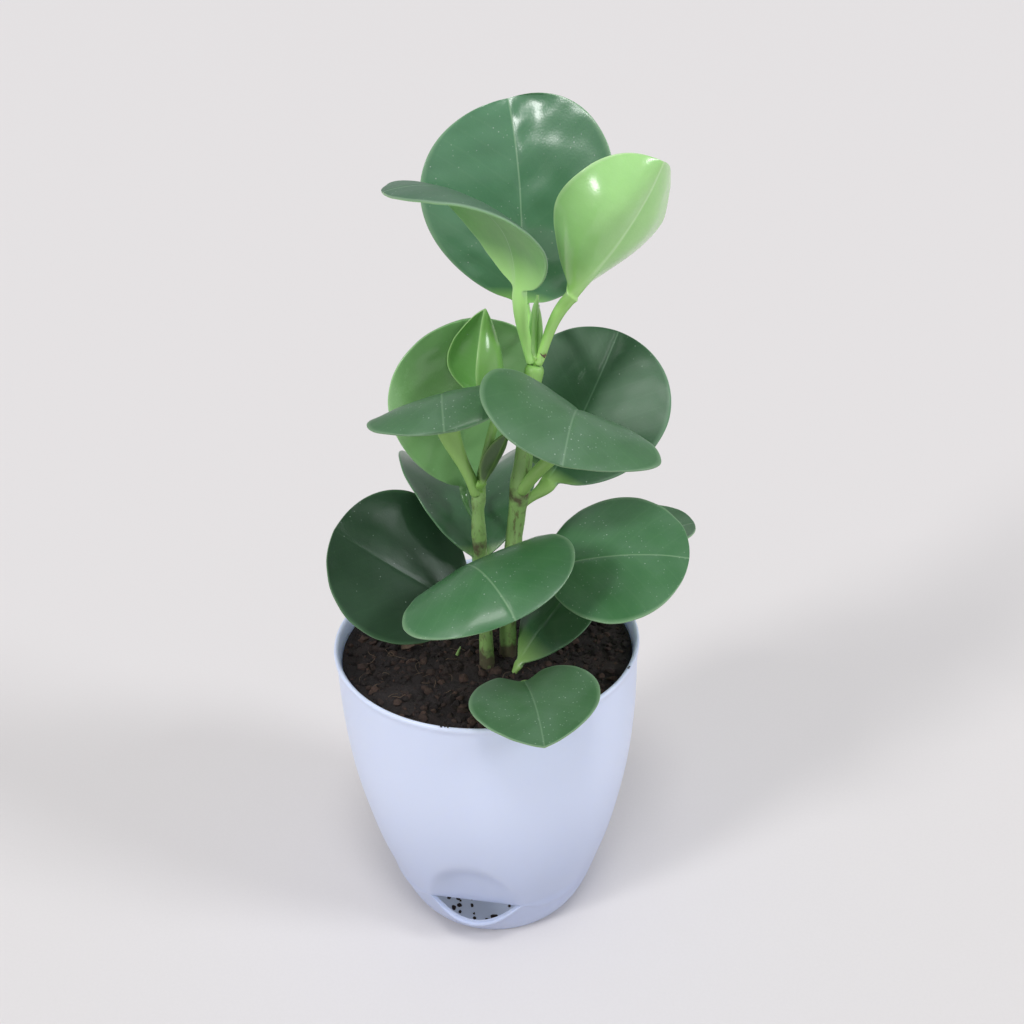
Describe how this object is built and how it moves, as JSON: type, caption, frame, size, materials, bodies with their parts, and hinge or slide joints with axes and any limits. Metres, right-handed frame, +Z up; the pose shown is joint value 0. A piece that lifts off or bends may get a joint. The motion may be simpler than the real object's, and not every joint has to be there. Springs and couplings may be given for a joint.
{
  "type": "potted peperomia",
  "caption": "Peperomia with thick round leaves on two stems, in a tapered white self-watering pot with a fill mouth low in its front wall.",
  "frame": {"origin": "middle of the pot's flat base, on the surface it stands on", "axes": "+Z up along the pot's axis; the fill mouth faces -Y; +X to the right seen from the mouth"},
  "size_m": [0.1271, 0.1199, 0.2973],
  "materials": {
    "white_plastic": "satin gloss",
    "grey_plastic": "matte",
    "potting_mix": "rough, crumbly",
    "stem": "dull with brown specks",
    "leaf": "waxy satin",
    "young_leaf": "waxy satin"
  },
  "bodies": {
    "root": {"pot": "white_plastic", "reservoir_insert": "grey_plastic", "soil": "potting_mix", "stem_main": "stem", "stem_front": "stem", "leaf_top_rear": "leaf", "leaf_top_left": "leaf", "leaf_top_right": "young_leaf", "leaf_front_young": "young_leaf", "leaf_mid_left": "leaf", "leaf_mid_left_low": "leaf", "leaf_mid_right": "leaf", "leaf_front_left": "leaf", "leaf_centre": "leaf", "leaf_front_low": "leaf", "leaf_low_right": "leaf", "leaf_low_right_rear": "leaf", "leaf_low_left": "leaf", "leaf_ground_right": "leaf", "leaf_ground_front": "leaf", "leaf_inner_young": "young_leaf", "bud_top": "young_leaf"}
  },
  "joints": []
}
